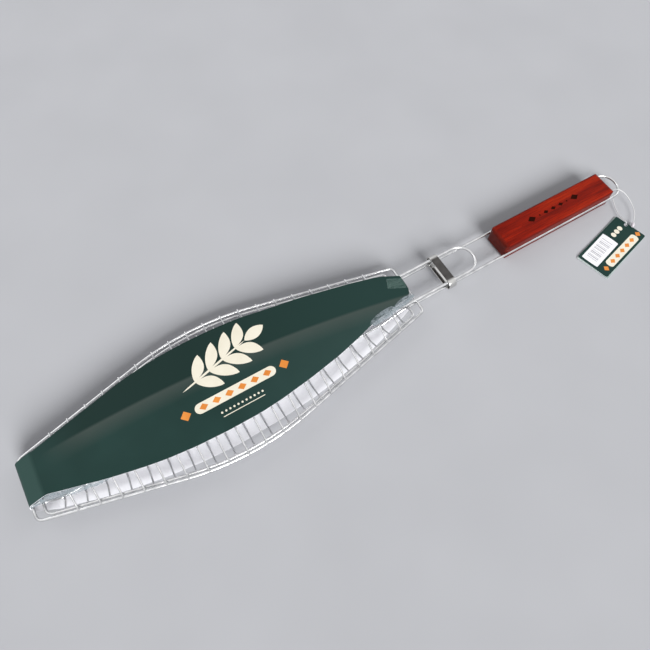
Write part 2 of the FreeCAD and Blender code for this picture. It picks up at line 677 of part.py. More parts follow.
def wrap_corners(offset):
    """The wrap's section line, moved outwards by half the card or inwards by it."""
    names = {}
    sign = "+" if offset > 0 else "-"
    side = "out" if offset > 0 else "in"
    for alias, source, turn in (
        ("high", "wrap_high", sign),
        ("low", "wrap_low", "-" if sign == "+" else "+"),
        ("face_x", "wrap_face_x", "-" if sign == "+" else "+"),
        ("top", "wrap_top", sign),
        ("bottom", "wrap_bottom", "-" if sign == "+" else "+"),
    ):
        share = "card / 2" if alias not in ("top", "bottom") else "card / 5"
        names[alias] = define("wrap_%s_%s" % (side, alias),
                              "=%s %s %s" % (source, turn, share), "wrap, %s side" % side)
    return names


def wrap():
    """The card that goes round the tip, from crease to crease."""
    outer = wrap_corners(1)
    inner = wrap_corners(-1)
    define("wrap_outer_round", "=wrap_round + card / 2", "bend radius, outside")
    define("wrap_inner_round", "=wrap_round - card / 2", "bend radius, inside")
    define("wrap_edge_round", "0.05", "softened end of the card")
    doc.recompute()
    corners = [
        ("leaf_start_x", outer["high"]), ("wrap_end_x", outer["high"]),
        (outer["face_x"], outer["top"]), (outer["face_x"], outer["bottom"]),
        ("wrap_end_x", outer["low"]), ("leaf_start_x", outer["low"]),
        ("leaf_start_x", inner["low"]), ("wrap_end_x", inner["low"]),
        (inner["face_x"], inner["bottom"]), (inner["face_x"], inner["top"]),
        ("wrap_end_x", inner["high"]), ("leaf_start_x", inner["high"]),
    ]
    half = ["wrap_edge_round", "wrap_outer_round", "wrap_outer_round",
            "wrap_outer_round", "wrap_outer_round", "wrap_edge_round"]
    back = ["wrap_edge_round", "wrap_inner_round", "wrap_inner_round",
            "wrap_inner_round", "wrap_inner_round", "wrap_edge_round"]
    path = bent_path("sleeve_wrap_section", corners, half + back, closed=True)
    stand(path, TO_LENGTH, x="Sizes.tip_x", y="Sizes.top_leaf_shift + Sizes.leaf_start_half")
    return extrude("sleeve_wrap", path, V(0, -1, 0), "2 * Sizes.leaf_start_half")


keep(wrap())

keep(slab("closing_tape", ("tape_x", "tape_y"), "tape_long", "tape_wide", "tape", "tape_turn",
          "0", "0", "Sizes.top_leaf_level + Sizes.card"))

# Hang tag with its price sticker, string and lock bead.
TAG_MIDDLE = ("tag_x", "tag_y")
card_blank = slab("tag_blank", TAG_MIDDLE, "tag_length", "tag_width", "tag_card", "tag_turn",
                  "0", "0", "0")
hole = doc.addObject("Part::Cylinder", "tag_hole")
hole.setExpression("Radius", "Sizes.hole_radius")
hole.setExpression("Height", "Sizes.tag_card + 2")
TURN = "(Sizes.tag_turn * 1 deg)"
stand(hole, FreeCAD.Rotation(),
      x=frame_x("tag_x") + " + Sizes.hole_along * cos%s - Sizes.hole_across * sin%s" % (
          TURN, TURN),
      y="Sizes.tag_y + Sizes.hole_along * sin%s + Sizes.hole_across * cos%s" % (TURN, TURN),
      z="-1")
keep(cut("hang_tag", card_blank, hole))
keep(slab("tag_sticker", TAG_MIDDLE, "sticker_length", "sticker_width", "sticker", "tag_turn",
          "Sizes.sticker_along", "Sizes.sticker_across", "Sizes.tag_card"))


def route_wire(points):
    """Straight runs joined by the largest arcs that they allow, and the arcs' radii."""
    edges = []
    radii = []
    last = points[0]
    for i in range(1, len(points) - 1):
        before = unit(points[i], points[i - 1])
        after = unit(points[i], points[i + 1])
        half = before.getAngle(after) / 2
        run = min((points[i] - points[i - 1]).Length, (points[i + 1] - points[i]).Length)
        reach = 0.45 * run
        radius = reach * math.tan(half)
        start = points[i] + before * reach
        stop = points[i] + after * reach
        middle = unit(V(0, 0, 0), before + after)
        centre = points[i] + middle * (radius / math.sin(half))
        top = centre - middle * radius
        edges.append(Part.makeLine(last, start))
        edges.append(Part.Arc(start, top, stop).toShape())
        radii.append(radius)
        last = stop
    edges.append(Part.makeLine(last, points[-1]))
    return Part.Wire(edges), radii


def tag_string():
    """The tag's string, a round tube along its route."""
    start = value("tip_x") + value("hang_loop_x")
    points = [V(start + x, y, z) for x, y, z in STRING_ROUTE]
    path, radii = route_wire(points)
    print("string radii, mm:", " ".join("%.1f" % r for r in radii))
    circle = Part.Circle(points[0], points[1] - points[0], value("string") / 2)
    tube = path.makePipeShell([Part.Wire([circle.toShape()])], True, False)
    node = doc.addObject("Part::Feature", "tag_string")
    node.Shape = tube
    expected = math.pi * (value("string") / 2) ** 2 * path.Length
    print("string length %.1f mm, volume %.2f of %.2f mm3" % (
        path.Length, tube.Volume, expected))
    return node


keep(tag_string())

bead = doc.addObject("Part::Cylinder", "lock_bead")
bead.setExpression("Radius", "Sizes.bead_radius")
bead.setExpression("Height", "Sizes.bead_length")
tip = V(*STRING_ROUTE[0])
aim = unit(tip, V(*STRING_ROUTE[1]))
loop_end = V(value("tip_x") + value("hang_loop_x"), 0, 0)
bead.Placement = FreeCAD.Placement(
    loop_end + tip - aim * value("bead_length"), FreeCAD.Rotation(Z_AXIS, aim))
keep(bead)

doc.recompute()

os.makedirs("parts", exist_ok=True)
for item in doc.Objects:
    state = set(item.State)
    if "Invalid" in state or "Error" in state:
        raise RuntimeError("%s is %s" % (item.Name, ", ".join(item.State)))
for node in NODES:
    shape = node.Shape
    if shape.isNull() or not shape.isValid() or shape.Volume <= 0:
        raise RuntimeError("%s has no valid solid" % node.Name)
    if len(shape.Solids) != 1:
        raise RuntimeError("%s has %d solids" % (node.Name, len(shape.Solids)))
    box = shape.BoundBox
    print("%-14s %9.1f mm3  X %7.1f %7.1f  Y %6.1f %6.1f  Z %5.2f %5.2f" % (
        node.Name, shape.Volume, box.XMin, box.XMax, box.YMin, box.YMax, box.ZMin, box.ZMax))
    shape.exportStep("parts/%s.step" % node.Name)
print("%d pieces" % len(NODES))
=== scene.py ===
"""A hinged wire fish basket in its card sleeve, with a wooden grip, a sliding lock
clip and a hang tag, laid on a pale studio floor.  Lengths are metres, or millimetres
where a comment says so.  +X runs from the hinged tip to the grip and +Z is up."""
import bpy
import math
import numpy as np
from mathutils import Matrix, Vector


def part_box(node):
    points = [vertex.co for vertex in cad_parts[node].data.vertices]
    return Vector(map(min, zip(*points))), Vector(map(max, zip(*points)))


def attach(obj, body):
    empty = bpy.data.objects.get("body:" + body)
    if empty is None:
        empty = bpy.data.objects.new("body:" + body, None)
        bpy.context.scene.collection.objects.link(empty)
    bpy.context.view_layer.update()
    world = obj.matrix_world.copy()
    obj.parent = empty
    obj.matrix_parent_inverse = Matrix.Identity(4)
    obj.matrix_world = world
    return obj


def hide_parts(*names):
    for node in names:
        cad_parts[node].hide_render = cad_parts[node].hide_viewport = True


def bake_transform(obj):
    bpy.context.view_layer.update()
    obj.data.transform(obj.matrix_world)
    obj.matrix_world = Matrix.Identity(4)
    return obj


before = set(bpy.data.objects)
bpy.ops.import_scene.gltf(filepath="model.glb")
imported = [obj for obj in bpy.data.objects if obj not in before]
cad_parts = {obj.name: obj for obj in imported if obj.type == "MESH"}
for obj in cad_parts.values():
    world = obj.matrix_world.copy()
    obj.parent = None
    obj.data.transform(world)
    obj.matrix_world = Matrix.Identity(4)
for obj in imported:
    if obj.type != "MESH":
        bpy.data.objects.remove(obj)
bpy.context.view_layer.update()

MM = 0.001
RIM_RADIUS = 1.25 * MM
RAIL_RADIUS = 1.4 * MM
# The middle of the lid's tip bar, which lengths along the basket are counted from.
TIP_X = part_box("lid_rim")[0][0] + RIM_RADIUS


# ---------------------------------------------------------------- camera

# The camera's place and angles, and its film width and focal length in mm.
CAMERA_PLACE = (-0.02004, -0.19657, 0.49338)
CAMERA_TURN = math.radians(30.19)
CAMERA_DIP = math.radians(63.81)
CAMERA_ROLL = math.radians(-0.19)
CAMERA_SENSOR = 36.0
CAMERA_LENS = 32.045


def make_camera():
    """Looks down on the basket from its near side: turned from +Y towards +X, dipped
    below the horizon and rolled a little about its own line of sight."""
    turn, dip, roll = CAMERA_TURN, CAMERA_DIP, CAMERA_ROLL
    ahead = Vector((math.cos(dip) * math.sin(turn), math.cos(dip) * math.cos(turn),
                    -math.sin(dip)))
    level = Vector((math.cos(turn), -math.sin(turn), 0))
    rise = level.cross(ahead)
    right = math.cos(roll) * level + math.sin(roll) * rise
    up = math.cos(roll) * rise - math.sin(roll) * level
    data = bpy.data.cameras.new("studio_camera")
    data.sensor_width = CAMERA_SENSOR
    data.lens = CAMERA_LENS
    data.clip_start = 0.01
    data.clip_end = 50.0
    camera = bpy.data.objects.new("studio_camera", data)
    bpy.context.scene.collection.objects.link(camera)
    facing = Matrix((right, up, -ahead)).transposed().to_4x4()
    camera.matrix_world = Matrix.Translation(CAMERA_PLACE) @ facing
    bpy.context.scene.camera = camera


make_camera()


# ---------------------------------------------------------------- materials

def rgb(code):
    """An sRGB hex colour as linear red, green, blue and alpha."""
    parts = [int(code[i:i + 2], 16) / 255 for i in (1, 3, 5)]
    linear = [c / 12.92 if c <= 0.04045 else ((c + 0.055) / 1.055) ** 2.4 for c in parts]
    return linear + [1.0]


def add(tree, kind, settings=None, **links):
    """Add a node; settings are its properties, links are values or sockets for its
    inputs, named by their labels with _ for a space, or in0, in1, ... by place."""
    node = tree.nodes.new(kind)
    for key, setting in (settings or {}).items():
        setattr(node, key, setting)
    for key, source in links.items():
        by_place = key.startswith("in") and key[2:].isdigit()
        socket = node.inputs[int(key[2:]) if by_place else key.replace("_", " ")]
        if isinstance(source, bpy.types.NodeSocket):
            tree.links.new(source, socket)
        else:
            socket.default_value = source
    return node


def new_material(name):
    """An empty node material and its tree."""
    material = bpy.data.materials.new(name)
    material.use_nodes = True
    tree = material.node_tree
    tree.nodes.clear()
    return material, tree


def finish_material(tree, shader):
    """Join a shader to the material's surface."""
    add(tree, "ShaderNodeOutputMaterial", Surface=shader.outputs[0])


def surfaced(material, tree, **links):
    """The material, finished with one principled shader."""
    finish_material(tree, add(tree, "ShaderNodeBsdfPrincipled", **links))
    return material


def calc(tree, operation, *values):
    """One step of arithmetic on numbers or sockets."""
    inputs = {f"in{place}": value for place, value in enumerate(values)}
    return add(tree, "ShaderNodeMath", {"operation": operation}, **inputs).outputs[0]


def mix(tree, share, first, second, blend="MIX"):
    """The first colour with a share of the second laid over it."""
    return add(tree, "ShaderNodeMix", {"data_type": "RGBA", "blend_type": blend},
               Factor=share, in6=first, in7=second).outputs[2]


def ramp(tree, fac, stops):
    """A colour ramp; stops are (place, hex colour)."""
    node = add(tree, "ShaderNodeValToRGB", Fac=fac)
    row = node.color_ramp.elements
    while len(row) < len(stops):
        row.new(0.5)
    for element, (place, colour) in zip(row, stops):
        element.position = place
        element.color = rgb(colour)
    return node.outputs["Color"]


def spread(tree, fac, low, high, from_low=0.0, from_high=1.0):
    """Map a factor, clamped between from_low and from_high, to low up to high."""
    return add(tree, "ShaderNodeMapRange", Value=fac, From_Min=from_low, From_Max=from_high,
               To_Min=low, To_Max=high).outputs[0]


def place_of(tree, scale=(1, 1, 1)):
    """Object coordinates, stretched by scale."""
    where = add(tree, "ShaderNodeTexCoord").outputs["Object"]
    return add(tree, "ShaderNodeMapping", Vector=where, Scale=scale).outputs[0]


def axes_of(tree, kind="Object"):
    """Coordinates of a kind as three sockets: x, y and z."""
    where = add(tree, "ShaderNodeTexCoord").outputs[kind]
    return add(tree, "ShaderNodeSeparateXYZ", Vector=where).outputs


def grain(tree, where, scale, detail=3.0, rough=0.5):
    """Soft noise about 0.5: scale is roughly its spots in each unit of where."""
    return add(tree, "ShaderNodeTexNoise", Vector=where, Scale=scale, Detail=detail,
               Roughness=rough).outputs["Fac"]


def bump(tree, height, strength, distance):
    """Normals tilted by a strength towards those of a surface that rises by height
    times distance, in metres."""
    return add(tree, "ShaderNodeBump", Height=height, Strength=strength,
               Distance=distance).outputs[0]


def plated_steel_wire():
    """Drawn steel wire, barrel plated with bright nickel and chrome: a clean mirror
    with a faint grain about 0.5 mm across and slightly dull spells about 8 mm long."""
    material, tree = new_material("bright_plated_steel_wire")
    cloud = grain(tree, place_of(tree), 120, 2.0)
    fine = grain(tree, place_of(tree), 2200, 2.0)
    return surfaced(
        material, tree,
        Base_Color=ramp(tree, cloud, [(0.3, "#cacbcb"), (0.65, "#e3e3e3")]),
        Metallic=1.0, Roughness=spread(tree, cloud, 0.18, 0.3),
        Normal=bump(tree, fine, 0.06, 0.0001))


def plated_steel_sheet():
    """Cold rolled strip, bent and plated, with rolling lines about 0.3 mm apart.  Its colour
    carries painted light: its upper flat is painted dark, a painted dark reflection, and
    round its two bends and under it it is painted bright, a painted highlight."""
    material, tree = new_material("bright_plated_steel_strip")
    lines = grain(tree, place_of(tree, (3200, 60, 60)), 1.0, 3.0)
    cloud = grain(tree, place_of(tree), 160, 2.0)
    low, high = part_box("clip")
    middle = (low[2] + high[2]) / 2
    flat_end = 12.6 * MM
    bend_end = 15.0 * MM
    fade = 2 * MM
    _, across, up = axes_of(tree)
    # Painted light: a painted highlight on the two bends and the underside, and a painted dark
    # reflection on the upper flat.
    ends = spread(tree, calc(tree, "ABSOLUTE", across), 0.0, 1.0, flat_end, bend_end)
    under = spread(tree, up, 1.0, 0.0, middle - fade, middle + fade)
    dark = ramp(tree, cloud, [(0.3, "#4b4947"), (0.7, "#605e5c")])
    return surfaced(
        material, tree,
        Base_Color=mix(tree, calc(tree, "MAXIMUM", ends, under), dark, rgb("#d9d8d5")),
        Metallic=1.0, Roughness=spread(tree, cloud, 0.09, 0.2),
        Normal=bump(tree, lines, 0.10, 0.0001))


def stained_beech():
    """Beech, stained mahogany red and dipped in varnish: long soft bands about 6 mm
    wide, fine fibre streaks, dark pore dashes about 4 mm long, ends where the stain
    is darker, long sides painted darker as painted shade, and a thin clear coat."""
    material, tree = new_material("stained_varnished_beech")
    band = grain(tree, place_of(tree, (9, 150, 210)), 1.0, 3.0, 0.55)
    fibre = grain(tree, place_of(tree, (55, 1500, 1700)), 1.0, 2.0, 0.6)
    pore = grain(tree, place_of(tree, (260, 2600, 2600)), 1.0, 1.0)
    stain = ramp(tree, band, [(0.28, "#6d0e01"), (0.5, "#911b04"), (0.72, "#ad2d0a")])
    colour = mix(tree, 1.0, stain, ramp(tree, fibre, [(0.25, "#b09a94"), (0.6, "#ffffff")]),
                 "MULTIPLY")
    dash = spread(tree, pore, 0.75, 0.0, 0.26, 0.36)
    colour = mix(tree, dash, colour, rgb("#3a0a06"))
    low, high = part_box("grip")
    middle = (low[0] + high[0]) / 2
    half = (high[0] - low[0]) / 2
    along, across, _ = axes_of(tree)
    from_middle = calc(tree, "ABSOLUTE", calc(tree, "SUBTRACT", along, middle))
    end = spread(tree, from_middle, 0.0, 0.62, half - 3.5 * MM, half - 0.2 * MM)
    # Painted shade: the long sides are painted darker than the top.
    side = spread(tree, calc(tree, "ABSOLUTE", across), 0.0, 0.7, high[1] - 1.6 * MM,
                  high[1] - 0.4 * MM)
    colour = mix(tree, side, colour, rgb("#480903"))
    colour = mix(tree, end, colour, rgb("#491d16"))
    return surfaced(
        material, tree, Base_Color=colour,
        Roughness=spread(tree, fibre, 0.34, 0.5), Specular_IOR_Level=0.09,
        Coat_Weight=0.06, Coat_Roughness=0.12,
        Normal=bump(tree, fibre, 0.22, 0.0002))


def laminated_card(name, dark, light, painted_shade_line=None):
    """Folding box board printed with flat green and laminated with thin matt film: an
    even colour with a faint mottle about 40 mm across, and a film that ripples.  The
    line given as the last argument is (place, slope, bow), y + slope x + bow x squared
    = place; past it the leaf is painted a shade deeper, a painted shade.  On its near
    side a band 15 mm wide is painted lighter and greyer, a painted sheen.  Both sides
    fade in over 40 mm behind the tip and are painted greyer and lighter towards the
    neck, a painted sheen, and the bend at the tip is painted lighter, a painted sheen too."""
    material, tree = new_material(name)
    mottle = grain(tree, place_of(tree), 24, 2.0)
    ripple = grain(tree, place_of(tree, (70, 110, 90)), 1.0, 2.0)
    grit = grain(tree, place_of(tree), 2600, 2.0)
    relief = calc(tree, "MULTIPLY_ADD", grit, 0.05, ripple)
    colour = ramp(tree, mottle, [(0.3, dark), (0.7, light)])
    if painted_shade_line:
        place, slope, bow = painted_shade_line
        along, across, _ = axes_of(tree)
        steepness = calc(tree, "MULTIPLY_ADD", along, bow, slope)
        line = calc(tree, "MULTIPLY_ADD", along, steepness, across)
        # Painted shade and sheen: past the line the leaf is painted darker (painted shade); the
        # near band, the neck end and the bend at the tip are painted lighter (painted sheen).
        neck = spread(tree, along, 0.0, 0.5, -20 * MM, 150 * MM)
        far = mix(tree, neck, rgb("#0c2723"), rgb("#24403c"))
        near = mix(tree, neck, colour, rgb("#374a47"))
        film_haze_and_painted_sheen = spread(tree, line, 0.0, 0.72, place - 16 * MM, place - 1 * MM)
        near = mix(tree, film_haze_and_painted_sheen, near, rgb("#454e4a"))
        past = spread(tree, line, 0.0, 0.9, place - 1 * MM, place + 1.4 * MM)
        start = spread(tree, along, 0.0, 1.0, TIP_X + 22 * MM, TIP_X + 62 * MM)
        colour = mix(tree, start, colour, mix(tree, past, near, far))
        # Painted sheen: the bend at the tip is painted lighter.
        bend = spread(tree, along, 0.9, 0.0, TIP_X + 12.5 * MM, TIP_X + 16.5 * MM)
        colour = mix(tree, bend, colour, rgb("#354e49"))
    return surfaced(
        material, tree, Base_Color=colour,
        Roughness=spread(tree, mottle, 0.44, 0.54), Specular_IOR_Level=0.14,
        Normal=bump(tree, relief, 0.22, 0.0006))


def bare_card():
    """The unprinted back of white coated board: matt, cool white, with fibre specks
    about 1 mm long."""
    material, tree = new_material("white_coated_board")
    fibre = grain(tree, place_of(tree, (900, 1900, 1900)), 1.0, 3.0)
    return surfaced(
        material, tree,
        Base_Color=ramp(tree, fibre, [(0.3, "#f0f0f5"), (0.7, "#fafafd")]),
        Roughness=0.62, Normal=bump(tree, fibre, 0.15, 0.0001))


def printed_ink(name, dark, light, rough=0.42, coat=0.2):
    """Flat offset ink, or a burnt mark, with a dot mottle about 0.5 mm across and as
    much of a gloss film over it as coat says."""
    material, tree = new_material(name)
    dots = grain(tree, place_of(tree), 1800, 2.0)
    cloud = grain(tree, place_of(tree), 90, 2.0)
    mottle = calc(tree, "MULTIPLY_ADD", dots, 0.35, cloud)
    return surfaced(
        material, tree,
        Base_Color=ramp(tree, mottle, [(0.35, dark), (0.95, light)]),
        Roughness=rough, Specular_IOR_Level=coat, Coat_Weight=coat, Coat_Roughness=0.25)


def clear_film(name, tint, film_haze_and_painted_sheen, uneven=1.0):
    """Thin clear polypropylene: mostly see-through, milky where it is creased, with
    bright reflections on its ripples.  haze is how milky it is on the whole, uneven
    how much the creases change that."""
    material, tree = new_material(name)
    crease = grain(tree, place_of(tree, (260, 420, 420)), 1.0, 3.0)
    veil = add(tree, "ShaderNodeBsdfPrincipled", Base_Color=rgb(tint), Roughness=0.28,
               Specular_IOR_Level=0.5, Normal=bump(tree, crease, 0.5 * uneven, 0.0008))
    clear = add(tree, "ShaderNodeBsdfTransparent")
    least = film_haze_and_painted_sheen * (1 - 0.7 * uneven)
    most = film_haze_and_painted_sheen * (1 + 1.4 * uneven)
    share = spread(tree, crease, least, most, 0.35, 0.7)
    both = add(tree, "ShaderNodeMixShader", Fac=share, in1=clear.outputs[0],
               in2=veil.outputs[0])
    finish_material(tree, both)
    return material


def sticker_paper():
    """White semi-gloss label paper, faintly cloudy."""
    material, tree = new_material("white_label_paper")
    cloud = grain(tree, place_of(tree), 700, 3.0)
    return surfaced(
        material, tree,
        Base_Color=ramp(tree, cloud, [(0.3, "#efeff3"), (0.7, "#f8f8fa")]),
        Roughness=0.5, Normal=bump(tree, cloud, 0.05, 0.0001))


def nylon(name, dark, light, through):
    """Moulded or drawn nylon: milky, a little see-through, with a soft gloss."""
    material, tree = new_material(name)
    cloud = grain(tree, place_of(tree), 900, 2.0)
    return surfaced(
        material, tree,
        Base_Color=ramp(tree, cloud, [(0.3, dark), (0.7, light)]),
        Roughness=0.3, Transmission_Weight=through,
        Normal=bump(tree, cloud, 0.05, 0.0001))


WIRE = plated_steel_wire()
STRIP = plated_steel_sheet()
WOOD = stained_beech()
# The sleeve's green card, with painted shade past a line and painted sheen beside it, towards
# the neck and at the tip.
GREEN = laminated_card("green_laminated_card", "#1b332f", "#213a36", painted_shade_line=(0.0152, 0.075, 0.4))
TAG_GREEN = laminated_card("green_tag_card", "#18312d", "#1f3934")
TAG_EDGE = laminated_card("rubbed_tag_card", "#8fa19c", "#b9c5c1")
WHITE = bare_card()
CREAM = printed_ink("cream_offset_ink", "#e7e0cc", "#f1ebda")
ORANGE = printed_ink("orange_offset_ink", "#d27a2c", "#ea9646")
GREY = printed_ink("grey_thermal_print", "#9a9aa0", "#b9b9be")
SCORCH = printed_ink("scorched_wood", "#1b0603", "#331008", 0.8, 0.02)
FILM = clear_film("clear_polypropylene_film", "#939ea4", 0.3)
TAPE = clear_film("clear_adhesive_tape", "#5b7770", 0.3, 0.5)
PAPER = sticker_paper()
STRING = nylon("milky_nylon_string", "#dddddd", "#f2f2f2", 0.1)
BEAD = nylon("milky_nylon_bead", "#e6e0e8", "#f7f2f7", 0.25)


# ---------------------------------------------------------------- mesh tools

CRISP = math.radians(50)


def mesh_piece(name, points, faces, materials, body, picks=None):
    """A mesh object at the origin, from points (n, 3) and faces, one array of point
    numbers or a list of such arrays, riding on a body, with a finish from a slot;
    picks gives each face its material.  Edges that turn more than CRISP stay crisp."""
    mesh = bpy.data.meshes.new(name)
    blocks = faces if isinstance(faces, list) else [faces]
    corners = [row for block in blocks for row in block.tolist()]
    mesh.from_pydata(points.tolist(), [], corners)
    for material in materials:
        mesh.materials.append(material)
    if picks is not None:
        mesh.polygons.foreach_set("material_index", np.asarray(picks, np.int32))
    mesh.polygons.foreach_set("use_smooth", np.full(len(mesh.polygons), True))
    mesh.set_sharp_from_angle(angle=CRISP)
    mesh.update()
    piece = bpy.data.objects.new(name, mesh)
    bpy.context.scene.collection.objects.link(piece)
    if body:
        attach(piece, body)
    return piece


def grid_faces(rows, columns, start=0, wrap_rows=False, wrap_columns=False):
    """Quads of a grid of points that is stored row by row, its first point numbered
    start; a wrapped grid joins its last row or column to its first."""
    row = np.arange(rows if wrap_rows else rows - 1)[:, None]
    column = np.arange(columns if wrap_columns else columns - 1)[None, :]
    below = (row + 1) % rows
    beside = (column + 1) % columns
    corners = [row * columns + column, below * columns + column,
               below * columns + beside, row * columns + beside]
    return start + np.stack(corners, -1).reshape(-1, 4)


def normals_of(grid):
    """Unit normals of a grid of points: the cross product of its two slopes."""
    across = np.cross(np.gradient(grid, axis=0), np.gradient(grid, axis=1))
    return across / np.maximum(np.linalg.norm(across, axis=2, keepdims=True), 1e-12)


def sheet_shell(grid, thickness):
    """A closed thin sheet: the grid moved half a thickness each way along its
    normal, with its four edges closed.  Gives points, faces and each face's side:
    0 for the upper side, 1 for the lower side and the edges."""
    rows, columns = grid.shape[:2]
    offset = normals_of(grid) * (thickness / 2)
    count = rows * columns
    points = np.concatenate([(grid + offset).reshape(-1, 3), (grid - offset).reshape(-1, 3)])
    top = grid_faces(rows, columns)
    low = grid_faces(rows, columns, count)[:, ::-1]
    number = np.arange(count).reshape(rows, columns)
    ring = np.concatenate([number[0, :-1], number[:-1, -1], number[-1, :0:-1], number[:0:-1, 0]])
    after = np.roll(ring, -1)
    edge = np.stack([ring, after, after + count, ring + count], 1)
    faces = np.concatenate([top, low, edge])
    picks = np.concatenate([np.zeros(len(top)), np.ones(len(low) + len(edge))])
    return points, faces, picks


def shells(name, grids, thickness, material, body):
    """Several thin closed sheets of one finish as one piece."""
    points, faces = [], []
    start = 0
    for grid in grids:
        corners, quads, _ = sheet_shell(grid, thickness)
        points.append(corners)
        faces.append(quads + start)
        start += len(corners)
    return mesh_piece(name, np.concatenate(points), np.concatenate(faces), [material], body)


def smooth_line(x, table, soft=6.0):
    """Values at x on a smooth line through a table of (x, value) pairs: straight
    interpolation, carried on past both ends, averaged over soft millimetres each way
    with weights that fall to nothing at the ends."""
    xs, ys = np.array(table, float).T
    kernel = np.linspace(-1, 1, 25)
    weight = 1 - kernel ** 2
    shifted = np.asarray(x, float)[..., None] + soft * kernel
    before = ys[0] + (shifted - xs[0]) * (ys[1] - ys[0]) / (xs[1] - xs[0])
    after = ys[-1] + (shifted - xs[-1]) * (ys[-1] - ys[-2]) / (xs[-1] - xs[-2])
    inner = np.interp(shifted, xs, ys)
    line = np.where(shifted < xs[0], before, np.where(shifted > xs[-1], after, inner))
    return (line * weight).sum(-1) / weight.sum()


def turned(x, y, along, across, turn):
    """A patch given along and across itself, turned by degrees and moved to x, y."""
    c = math.cos(math.radians(turn))
    s = math.sin(math.radians(turn))
    return x + along * c - across * s, y + along * s + across * c


# ---------------------------------------------------------------- tag string

# The string's route from the lock bead over the hanging loop and back down through
# the tag's hole, as the model's tube runs: x from the outer end of the loop's middle
# line, y and z, in mm.
LOOP_END = 449.0
ROUTE = [
    (-13.5, -47.8, 2.95), (-7.7, -43.4, 3.3), (-2.7, -37.2, 4), (0.3, -29.6, 5.4),
    (0.3, -21.8, 8.2), (-2.5, -15.6, 11.8), (-6.7, -9.8, 13.1), (-9.9, -6.9, 9.6),
    (-10.1, -10.6, 4.9), (-12.7, -17.6, 3.2), (-16.3, -25.4, 2.4), (-19.1, -33.4, 2.4),
    (-20.6, -39.6, 4.3), (-20.7, -44.7, 5.2), (-20.5, -45.35, 0.3),
]
STRING_SIZE = 0.8 * MM


def tag_string():
    """A thin nylon string on one smooth line, and the points of its route."""
    route = [((LOOP_END + x) * MM, y * MM, z * MM) for x, y, z in ROUTE]
    curve = bpy.data.curves.new("string_loop", "CURVE")
    curve.dimensions = "3D"
    curve.bevel_depth = STRING_SIZE / 2
    curve.bevel_resolution = 3
    curve.use_fill_caps = True
    spline = curve.splines.new("NURBS")
    spline.points.add(len(route) - 1)
    for point, place in zip(spline.points, route):
        point.co = (*place, 1.0)
    spline.order_u = 3
    spline.use_endpoint_u = True
    spline.resolution_u = 12
    curve.materials.append(STRING)
    piece = bpy.data.objects.new("string_loop", curve)
    bpy.context.scene.collection.objects.link(piece)
    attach(piece, "tray")
    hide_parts("tag_string")
    return piece, route


def lock_bead(route):
    """A moulded bead: a profile turned round the line of the string's first run,
    thick in the middle, waisted near both ends and bored for the string."""
    start = np.array(route[0])
    aim = start - np.array(route[1])
    aim /= np.linalg.norm(aim)
    side = np.cross(aim, [0, 0, 1])
    side /= np.linalg.norm(side)
    rise = np.cross(side, aim)
    along = np.array([0, 0, 0.25, 0.7, 1.1, 2.0, 3.0, 3.9, 4.4, 4.85, 5.1, 5.1]) * MM
    radius = np.array([0.42, 1.1, 1.35, 1.45, 1.25, 1.62, 1.66, 1.3, 1.5, 1.4, 1.1, 0.42]) * MM
    turn = np.linspace(0, 2 * math.pi, 32, endpoint=False)
    ring = np.cos(turn)[:, None] * side + np.sin(turn)[:, None] * rise
    points = start + along[:, None, None] * aim + radius[:, None, None] * ring[None]
    faces = grid_faces(len(along), len(turn), wrap_rows=True, wrap_columns=True)
    piece = mesh_piece("bead_body", points.reshape(-1, 3), faces, [BEAD], "tray")
    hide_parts("lock_bead")
    return piece


# ---------------------------------------------------------------- sleeve

# Edges of the leaves: distance from the lid's tip bar and y, in mm.
TOP_NEAR = [(17, -15.6), (30, -19.3), (45, -23.4), (59, -27.4), (76, -31.3), (92, -34.6),
            (109, -37.6), (135, -40.4), (164, -41.7), (192, -41.7), (213, -40.2), (245, -35.9),
            (277, -30.2), (301, -24.2), (318, -19.2), (341, -15.2), (354, -13.2), (366.7, -13.2)]
TOP_FAR = [(17, 23.4), (40, 29.2), (82, 39.4), (100, 43.8), (117, 46.6), (134, 48.6),
           (150, 49.6), (170, 49.9), (187, 49.5), (204, 48.4), (219, 46.9), (237, 43.6),
           (275, 37.4), (323, 26.8), (349, 19.6), (366.7, 10.4)]
LOW_NEAR = [(17, -22.3), (45, -30.6), (69, -36.8), (100, -42.4), (134, -46.6), (167, -48.4),
            (204, -47.2), (243, -44.2), (286, -37.0), (314, -30.6), (347, -20.4), (366.7, -13.4)]
LOW_FAR = [(17, 16.3), (45, 24.6), (69, 30.4), (100, 36.4), (134, 40.6), (167, 42.6),
           (204, 41.2), (243, 37.6), (286, 31.0), (314, 24.6), (347, 15.4), (366.7, 8.0)]
CARD = 0.5 * MM
# Where the leaves start and end along the basket, and their heights, in mm.
LEAF_START = 18.0
LEAF_END = 366.6
TOP_LEVEL = 27.3
LOW_LEVEL = 0.3
# The top leaf is level over LEVEL_SHARE of its half width.  Where that is FALL_WIDTH,
# it falls past there by FALL times the square of the share that is left, all in mm.
LEVEL_SHARE = 0.45
FALL = 1.65
FALL_WIDTH = 45
# The height of its ripple, and how far its corner at the neck is cut back, in mm.
RIPPLE = 0.12
NECK_CUT = 6.5


